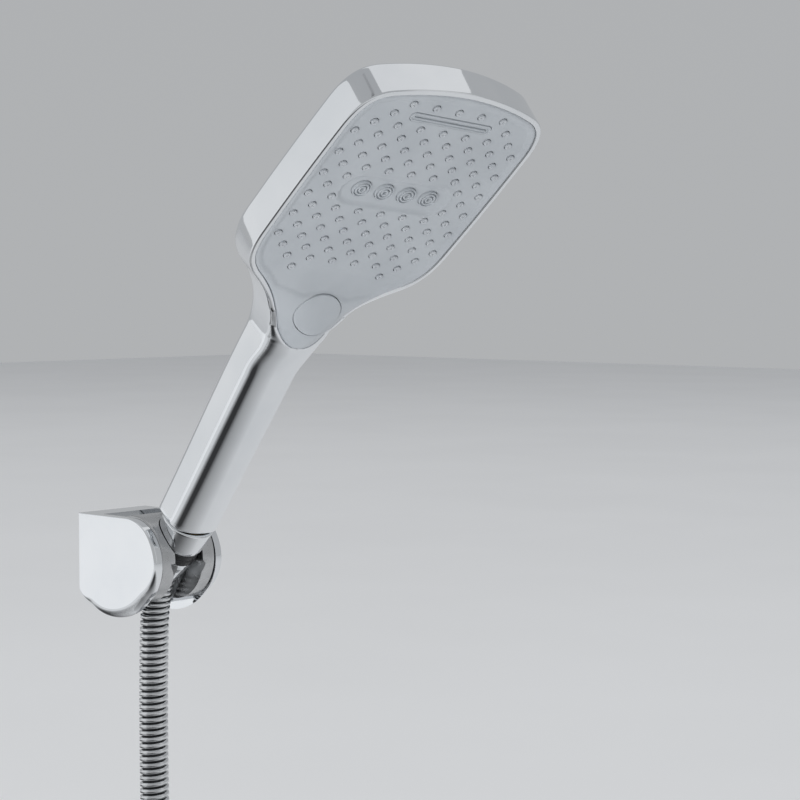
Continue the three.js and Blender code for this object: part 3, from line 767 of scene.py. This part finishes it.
def on_face(us, vs):
    """Which points lie on the face's skin, and not outside it or in an opening."""
    solid = outline_distance(us, vs) > 0
    for u, v, r in [(u, v, 1.93) for u, v in NUBS] + [(u, v, 4.73) for u, v in JETS]:
        solid &= np.hypot(us - u, vs - v) > r * 0.985
    flat_u = np.maximum(np.abs(us) - (SLOT_U - SLOT_HALF), 0)
    solid &= np.hypot(flat_u, vs - SLOT_V) > 2.58
    solid &= np.hypot(us / (BUTTON_A + 0.28), (vs - BUTTON_V) / (BUTTON_B + 0.28)) > 0.998
    return solid


def side_walls(faces, verts, low):
    """Walls down from each open edge, with points of their own."""
    used = dict.fromkeys(pair for face in faces for pair in zip(face, face[1:] + face[:1]))
    walls, corners = [], {}
    for a, b in used:
        if (b, a) in used:
            continue
        for k in (a, b):
            corners.setdefault(k, len(verts) + 2 * len(corners))
        walls.append((corners[b], corners[a], corners[a] + 1, corners[b] + 1))
    return walls, np.array([p for k in corners for p in (verts[k], low[k])])


def spray_face():
    points, edges, sunk = [], [], []
    for mark, loop in face_loops():
        first, count = len(points), len(loop)
        points.extend(map(tuple, loop))
        sunk.extend([mark] * count)
        edges.extend((first + k, first + (k + 1) % count) for k in range(count))
    field = field_points()
    sunk.extend([False] * len(field))
    made = delaunay_2d_cdt([Vector(p) for p in points + field], edges, [], 0, 1e-4)
    flat = np.array([tuple(p) for p in made[0]])
    u, v = flat.T
    faces = np.array(made[2])
    middle = flat[faces].mean(axis=1)
    faces = [tuple(f) for f in faces[on_face(middle[:, 0], middle[:, 1])].tolist()]
    height = face_height(u, v, np.maximum(outline_distance(u, v), 0))
    height = height - 0.16 * np.array([bool(o) and sunk[o[0]] for o in made[3]])
    verts = on_sheet(u, v, height)
    walls, extra = side_walls(faces, verts, on_sheet(u, v, height - 1.7))
    normals = face_normals(u, v) @ np.array(HANDSET.to_3x3()).T
    obj = plain("spray_face", np.vstack([verts, extra]), faces + walls, HANDSET)
    finished(obj, "grey_plastic", "handset", ("spray_faceplate",), sharp=180)
    obj.data.normals_split_custom_set_from_vertices(
        np.vstack([normals, np.zeros((len(extra), 3))]).tolist())


spray_face()


def dome_rows(r, low, high, soft):
    """Rings of a small rounded stud with a pin hole: radius and height pairs."""
    return rounded([(r, low), (r * 0.97, high), (r * 0.42, high), (r * 0.2, high - 0.45)], soft, 3)


def nozzle_studs():
    verts, faces = [], []
    count = 14
    for u, v in NUBS:
        level = face_level(u, v)
        rows = dome_rows(1.62, level - 1.4, level + 0.75, 0.42)
        first = len(verts)
        for r, h in rows:
            ring = np.array(circle(u, v, r, count))
            verts.extend(map(tuple, on_sheet(ring[:, 0], ring[:, 1], h)))
        for i in range(len(rows) - 1):
            for k in range(count):
                n = (k + 1) % count
                faces.append((first + i * count + k, first + i * count + n,
                              first + (i + 1) * count + n, first + (i + 1) * count + k))
        faces.append(tuple(first + (len(rows) - 1) * count + k for k in range(count)))
    # backing sheet under the face, seen only down the gaps
    base = len(verts)
    ring = np.array([tuple(p) for p in chain(PLATE_SIDE, (PLATE_SIDE * [-1, 1])[::-1])]) * 0.93
    ring = ring[ring[:, 1] > -52]
    verts.extend(map(tuple, on_sheet(ring[:, 0], ring[:, 1], -3.2)))
    faces.append(tuple(range(base, base + len(ring))))
    obj = raw("nozzle_studs", verts, faces, HANDSET)
    finished(obj, "grey_silicone", "handset", ("nozzle_mat",), sharp=50)


nozzle_studs()


def massage_jets():
    for index, (u, v) in enumerate(JETS):
        level = face_level(u, v)
        profile = [
            (0, -4.4), (2.5, -4.4), (2.5, -2.4), (4.5, -2.4), (4.5, 0.85), (4.35, 1.05),
            (4.1, 1.05), (3.95, 0.85), (3.9, 0.0), (3.35, 0.0), (3.3, 1.0), (3.1, 1.2), (2.7, 1.2),
            (2.5, 1.0), (2.45, -0.1), (1.85, -0.1), (1.8, 1.0), (1.6, 1.2), (1.2, 1.2), (1.0, 1.0),
            (0.95, -0.9), (0, -0.9),
        ]
        lifted = [(r, z + (level if z > -2 else 0)) for r, z in profile]
        obj = lathe(f"massage_jet_{index + 1}", lifted, HEAD @ shift(0, u, v), 48, 0.0, axis="x")
        finished(obj, "grey_plastic", "handset", (f"massage_nozzle_{index + 1}",), sharp=44)


massage_jets()


def waterfall_mouth():
    level = face_level(0.0, SLOT_V)
    # inset from the outer edge, height
    steps = [(0.0, -4.0), (0.0, -0.1), (0.1, 0.2), (0.35, 0.34), (0.62, 0.32), (0.8, 0.12),
             (0.9, -0.2), (1.3, -0.26), (1.7, -0.2), (1.82, -0.02), (1.92, 0.02), (2.02, -0.05),
             (2.1, -0.35), (2.12, -1.6)]
    rings = []
    for inset, height in steps:
        outline = np.array(slot_outline(-inset))
        rings.append(on_sheet(outline[:, 0], outline[:, 1], level + height))
    verts, faces = skin(rings, caps=(False, True))
    obj = raw("waterfall_mouth", verts, faces, HANDSET)
    finished(obj, "grey_plastic", "handset", ("waterfall_lip",), sharp=50)


waterfall_mouth()


def button():
    steps = [(1.0, -4.6), (1.0, -0.5), (0.995, -0.16), (0.98, 0.0), (0.955, 0.07), (0.9, 0.1),
             (0.82, 0.08), (0.7, 0.04), (0.55, 0.0), (0.4, -0.03), (0.25, -0.05), (0.1, -0.06)]
    rings = []
    for scale, lift in steps:
        outline = np.array(button_outline(BUTTON_A * scale, BUTTON_B * scale))
        level = crown(outline[:, 0], outline[:, 1]) + 0.12
        rings.append(on_sheet(outline[:, 0], outline[:, 1], level + lift))
    verts, faces = skin(rings, caps=(True, True))
    obj = raw("button_cap", verts, faces, HANDSET)
    finished(obj, "grey_plastic", "button", ("mode_button",), sharp=50)


button()


def press_spring():
    """Coil of wire behind the button."""
    turns, steps, sides = 3.5, 112, 8
    wire, mean, low, high = 0.38, 4.3, 6.95, 10.1
    rings = []
    for i in range(steps + 1):
        a = 2 * math.pi * turns * i / steps
        centre = Vector((low + (high - low) * i / steps, mean * math.cos(a), 133 + mean * math.sin(a)))
        out = Vector((0, math.cos(a), math.sin(a)))
        rings.append([tuple(centre + wire * (math.cos(b) * out + math.sin(b) * Vector((1, 0, 0))))
                      for b in (2 * math.pi * k / sides for k in range(sides))])
    obj = raw("button_coil_spring", *skin(rings, caps=(True, True)), HANDSET)
    finished(obj, "plain_steel", "handset", ("button_spring",), sharp=60)
    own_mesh(obj)


press_spring()


# ---------------------------------------------------------------- cone, collar, ferrules
def fittings():
    cone = lathe("cone_nut_turned", [
        (6.6, -13.5), (11.4, -13.5), (12.0, -12.9), (12.2, -11.5), (13.0, -1.6), (13.0, -0.9),
        (12.5, -0.35), (10.3, -0.35), (10.3, -11.9), (6.6, -11.9)], HANDSET, 96, 0.35, closed=True)
    finished(cone, "polished_chrome", "handset", ("cone_nut",), sharp=40)
    collar = lathe("swivel_collar_turned", [
        (6.3, -20.4), (10.6, -20.4), (11.2, -19.8), (11.3, -17.4), (10.9, -17.1), (10.9, -16.7),
        (11.3, -16.4), (11.3, -14.4), (10.9, -13.8), (6.3, -13.8)], SOCKET, 72, 0.25, closed=True)
    finished(collar, "black_plastic", "hose_end", ("swivel_collar",), sharp=40)
    ferrule = lathe("hose_ferrule_turned", [
        (6.3, -31.0), (7.9, -31.0), (8.3, -30.4), (9.6, -25.6), (10.1, -23.4), (10.2, -21.4),
        (9.7, -20.7), (6.3, -20.7)], SOCKET, 72, 0.25, closed=True)
    finished(ferrule, "polished_chrome", "hose_end", ("hose_ferrule_upper",), sharp=40)
    end = shift(COIL_END / MM, 0, (COIL_Z - TAIL) / MM)
    lower = lathe("lower_ferrule_turned", [
        (6.3, -14), (8.5, -14), (8.9, -13.5), (8.7, -8.4), (8.1, -8.0), (8.1, -7.2), (8.5, -6.8),
        (8.1, -1.0), (7.7, -0.3), (6.3, -0.3)], end, 72, 0.3, closed=True)
    finished(lower, "polished_chrome", "hose", ("hose_ferrule_lower",), sharp=40)
    wall_nut(end)
    return lower


def wall_nut(end):
    """Turned nut with grip flutes round it."""
    segments, flutes = 144, 24
    profile = rounded([(6.6, -14.3), (11.0, -14.3), (12.0, -15.4), (12.6, -17.0), (12.6, -30.4),
                       (12.2, -31.3), (10.4, -31.3), (10.4, -24), (6.6, -24)], 0.4, closed=True)
    rings = []
    for r, z in profile:
        ring = []
        for k in range(segments):
            a = 2 * math.pi * k / segments
            groove = max(0.0, math.cos(a * flutes)) ** 3 if r > 11.5 and -30.2 < z < -16.5 else 0.0
            ring.append(((r - 0.45 * groove) * math.cos(a), (r - 0.45 * groove) * math.sin(a), z))
        rings.append(ring)
    rings.append(rings[0])
    verts, faces = skin(rings)
    obj = raw("wall_nut_fluted", verts, faces, end)
    finished(obj, "polished_chrome", "nut", ("wall_nut",), sharp=40)


lower_ferrule = fittings()


def tie():
    """Soft strap round the coil's far side."""
    r, w = 7.0, COIL_TURNS * COIL_STEP / MM
    x0 = COIL_START / MM
    centre_y = 2 * coil_radius / MM
    rings = []
    half_x, half_y = w / 2 + r + 0.75, r + 0.75
    for z in np.linspace(-9, 9, 9):
        bulge = 0.35 * (1 - (z / 9) ** 2)
        ring = []
        for k in range(64):
            a = 2 * math.pi * k / 64
            ca, sa = math.cos(a), math.sin(a)
            flat = half_x - half_y
            x = math.copysign(flat, ca) * min(1, abs(ca) * 6) + (half_y + bulge) * ca
            ring.append((x0 + w / 2 + x, centre_y + (half_y + bulge) * sa, COIL_Z / MM + z))
        rings.append(ring)
    verts, faces = skin(rings)
    obj = raw("coil_tie", verts, faces)
    wall = obj.modifiers.new("wall", "SOLIDIFY")
    wall.thickness = 1.0 * MM
    wall.offset = 0.0
    finished(obj, "black_plastic", "hose", ("hose_tie",), sharp=50)
    return obj


coil_tie = tie()


# ---------------------------------------------------------------- wall holder
def arc(cx, cz, r, start, end, count):
    return [(cx + r * math.cos(a), cz + r * math.sin(a)) for a in np.linspace(start, end, count)]


def holder_line():
    """Side outline of the holder (X and Z), clockwise from the wall's top edge."""
    line = [(x, 20.9) for x in np.linspace(0, 36, 14)]
    line += arc(36, -1, 21.9, math.pi / 2, -0.9, 44)[1:]
    line += [tuple(p) for p in bezier(line[-1], (43, -25.5), (33, -29.6), (23, -29.6), 20)[1:]]
    line += [tuple(p) for p in bezier((23, -29.6), (14, -29.6), (5, -26), (0, -17), 20)[1:]]
    line += [(0, z) for z in np.linspace(-17, 20.9, 12)[1:-1]]
    return np.array(line)


def holder():
    line = holder_line()
    along = np.roll(line, -1, axis=0) - np.roll(line, 1, axis=0)
    along /= np.linalg.norm(along, axis=1)[:, None]
    inward = np.column_stack([along[:, 1], -along[:, 0]])
    inward[0], inward[13] = (0.7, -0.7), (0.05, -1)
    # how far the side's edge is rounded, all the way round the outline
    x, z = line[:, 0], line[:, 1]
    radius = 0.5 + 4.3 * smooth(-z, 0, 22) * smooth(x, 0.5, 8) + 0.9 * smooth(x, 40, 56) * (
        1 - smooth(-z, 0, 22)) * smooth(-z, -20, -8)
    half = 22.05
    rings = []
    for a in np.linspace(0, math.pi / 2, 9):
        inset = radius * (1 - math.sin(a))
        y = -half + radius * (1 - math.cos(a))
        p = line + inward * inset[:, None]
        rings.append(np.column_stack([p[:, 0], y, p[:, 1]]))
    for ring in rings[::-1]:
        rings.append(ring * [1, -1, 1])
    verts, faces = skin(rings, caps=(True, True))
    body = raw("holder_body", verts, faces)
    channel = block("channel", (13.6, 80), (-17.4, 17.4), (-50, 50))
    cavity = block("cavity", (-5, 10.4), (-15.5, 15.5), (-16, 17))
    pins = rod("pins", 4.3, -20.8, 20.8, across(36, 0))
    lock = rod("lock", 2.3, -40, 0, shift(7, 0, 0), 32)
    combined(body, [channel, cavity, pins, lock], "DIFFERENCE")
    finished(body, "polished_chrome", "holder", ("wall_base",), sharp=30, soften=0.4)


holder()


def cradle():
    collar_profile = [(7, 2), (17, 2), (17, 10), (16.4, 13), (15.6, 17), (15.2, 21.3), (14.6, 22),
                      (7, 22), (7, 2)]
    collar = lathe("collar", collar_profile, shift(6.4, 0, 0), 96, 0.0)
    front = [(-8.5, 40), (-8.5, 21.5)] + [tuple(p) for p in bezier(
        (-8.5, 21.5), (-2, 19.2), (4, 12.5), (14, 12.1), 14)[1:]] + [(30, 11.4), (30, 40)]
    sweep = prism("sweep", front, -40, 40, WORLD, "xz")
    combined(collar, [sweep], "DIFFERENCE")
    drum = lathe("cradle_body", rounded([(0, -17.1), (21.7, -17.1), (21.7, 17.1), (0, 17.1)], 0.0),
                 across(0, 0), 128, 1.1)
    combined(drum, [collar], "UNION")
    bore = lathe("bore", [(0, -41), (10.4, -41), (10.4, 7.3), (11.9, 7.8), (12.4, 15.2),
                          (13.4, 26.9), (13.7, 40), (0, 40)], shift(6.4, 0, 0), 96, 0.0)
    slot = block("slot", (6.4, 60), (-9, 9), (-42, 42))
    left = rod("left", 9.3, 15.6, 40, across(0, 0))
    right = rod("right", 9.3, -40, -15.6, across(0, 0))
    combined(drum, [bore, slot, left, right], "DIFFERENCE")
    metres = Matrix.Diagonal((MM, MM, MM, 1))
    drum.data.transform(metres @ PIVOT @ metres.inverted())
    finished(drum, "satin_chrome", "cradle", ("cradle",), sharp=30, soften=0.5)


cradle()


# ---------------------------------------------------------------- wall fixings
def wall_plate():
    outline = []
    for cy, cz, start in ((10.5, 11, 0), (-10.5, 11, 90), (-10.5, -11, 180), (10.5, -11, 270)):
        for a in np.linspace(start, start + 90, 9):
            outline.append((cy + 3 * math.cos(math.radians(a)), cz + 3 * math.sin(math.radians(a))))
    plate = prism("wall_plate_pressed", outline, 0, 3, WORLD)
    lug = block("lug", (2, 10.1), (-6, 6), (-14, -12.6))
    combined(plate, [lug], "UNION")
    holes = [rod("hole", 2.4, -2, 6, shift(0, 0, z), 32, axis="x") for z in (-8, 8)]
    combined(plate, holes, "DIFFERENCE")
    finished(plate, "plain_steel", "holder", ("wall_plate",), sharp=30, soften=0.3)


wall_plate()


# ---------------------------------------------------------------- floor, light, camera
def stage_material(name, colour, rough):
    m = Nodes(name)
    m.link(m.tones(m.noise(2.0, 2), tuple(c * 0.98 for c in colour), colour),
           m.shader.inputs["Base Color"])
    m.shader.inputs["Roughness"].default_value = rough
    return m.material


def card_material(name, solid):
    """Black card that fades away towards its edges."""
    m = Nodes(name)
    m.shader.inputs["Base Color"].default_value = (0.012, 0.012, 0.013, 1)
    m.shader.inputs["Roughness"].default_value = 0.9
    centred = m.add("ShaderNodeVectorMath", operation="MULTIPLY_ADD")
    m.link(m.tree.nodes["Texture Coordinate"].outputs["Generated"], centred.inputs[0])
    centred.inputs[1].default_value = (2, 2, 0)
    centred.inputs[2].default_value = (-1, -1, 0)
    ball = m.add("ShaderNodeTexGradient", gradient_type="SPHERICAL")
    m.link(centred.outputs["Vector"], ball.inputs["Vector"])
    mix = m.add("ShaderNodeMixShader")
    m.link(m.span(ball.outputs["Fac"], 0.0, solid, 0.02, 0.76), mix.inputs["Fac"])
    m.link(m.add("ShaderNodeBsdfTransparent").outputs["BSDF"], mix.inputs[1])
    m.link(m.shader.outputs["BSDF"], mix.inputs[2])
    m.link(mix.outputs["Shader"], m.tree.nodes["Material Output"].inputs["Surface"])
    return m.material


def panel(name, centre, size, facing, material):
    """A flat card that looks at a point."""
    mesh = bpy.data.meshes.new(name)
    a, b = size[0] / 2, size[1] / 2
    mesh.from_pydata([(-a, -b, 0), (a, -b, 0), (a, b, 0), (-a, b, 0)], [], [(0, 1, 2, 3)])
    mesh.materials.append(material)
    obj = bpy.data.objects.new(name, mesh)
    bpy.context.scene.collection.objects.link(obj)
    obj.location = centre
    obj.rotation_mode = "QUATERNION"
    obj.rotation_quaternion = (Vector(facing) - Vector(centre)).to_track_quat("Z", "Y")
    return obj


def softbox(name, centre, size, aim, power, tint=(1, 1, 1)):
    data = bpy.data.lights.new(name, "AREA")
    data.shape = "RECTANGLE"
    data.size, data.size_y = size
    data.energy = power
    data.color = tint
    obj = bpy.data.objects.new(name, data)
    bpy.context.scene.collection.objects.link(obj)
    obj.location = centre
    obj.rotation_mode = "QUATERNION"
    obj.rotation_quaternion = (Vector(aim) - Vector(centre)).to_track_quat("-Z", "Y")
    return obj


def studio():
    floor = bpy.data.meshes.new("floor")
    s = 9.0
    floor.from_pydata([(-s, -s, 0), (s, -s, 0), (s, s, 0), (-s, s, 0)], [], [(0, 1, 2, 3)])
    floor.materials.append(stage_material("pale floor", (0.88, 0.885, 0.89), 0.85))
    ground = bpy.data.objects.new("floor", floor)
    ground.location = (0, 0, -0.335)
    bpy.context.scene.collection.objects.link(ground)
    world = bpy.data.worlds.new("studio")
    bpy.context.scene.world = world
    world.use_nodes = True
    tree = world.node_tree
    place = tree.nodes.new("ShaderNodeTexCoord")
    split = tree.nodes.new("ShaderNodeSeparateXYZ")
    ramp = tree.nodes.new("ShaderNodeValToRGB")
    tree.links.new(place.outputs["Generated"], split.inputs["Vector"])
    tree.links.new(split.outputs["Z"], ramp.inputs["Fac"])
    ramp.color_ramp.elements[0].position = 0.0
    ramp.color_ramp.elements[0].color = (0.435, 0.445, 0.455, 1)
    ramp.color_ramp.elements[1].position = 0.9
    ramp.color_ramp.elements[1].color = (0.41, 0.42, 0.435, 1)
    tree.links.new(ramp.outputs["Color"], tree.nodes["Background"].inputs["Color"])
    tree.nodes["Background"].inputs["Strength"].default_value = 1.0
    aim = (0.1, 0, 0.02)
    softbox("left", (-1.05, -1.15, 0.35), (1.9, 1.9), aim, 3.6, (0.98, 0.99, 1))
    softbox("top", (0.3, 0.5, 1.7), (1.8, 1.5), aim, 2.6)
    softbox("right", (1.7, 0.7, 0.6), (0.8, 1.3), aim, 0.5)
    key = softbox("key", (0.38, -1.0, -0.26), (0.5, 0.12), (0.15, 0, 0.14), 0.35)
    key.data.spread = math.radians(55)
    key.visible_glossy = False
    sky = softbox("sky", (0, 0, 5), (11, 11), (0, 0, 0), 170)
    sky.visible_glossy = False
    for name, solid, centre, size, look in (
            ("front floor card", 0.97, (0.22, -0.38, -0.325), (1.3, 1.15), (0.22, -0.38, 1)),
            ("rear floor card", 0.95, (-0.42, 0.02, -0.325), (0.7, 1.1), (-0.42, 0.02, 1)),
            ("upper card", 0.6, (0.26, -0.72, 1.15), (0.2, 0.6), aim)):
        card = panel(name, centre, size, look, card_material(f"{name} black", solid))
        card.visible_camera = False
        card.visible_diffuse = False
        card.visible_shadow = False


studio()


def camera():
    yaw, pitch = 0.7373, 0.0576
    r = Vector((math.cos(yaw), math.sin(yaw), 0))
    b = Vector((math.sin(yaw) * math.cos(pitch), -math.cos(yaw) * math.cos(pitch), math.sin(pitch)))
    u = b.cross(r)
    data = bpy.data.cameras.new("camera")
    data.lens, data.sensor_width = 91.19, 36.0
    obj = bpy.data.objects.new("camera", data)
    bpy.context.scene.collection.objects.link(obj)
    obj.matrix_world = Matrix.Translation((0.79523, -0.65899, 0.13521)) @ Matrix(
        (r, u, b)).transposed().to_4x4()
    bpy.context.scene.camera = obj


camera()
bpy.context.scene.view_settings.view_transform = "Standard"
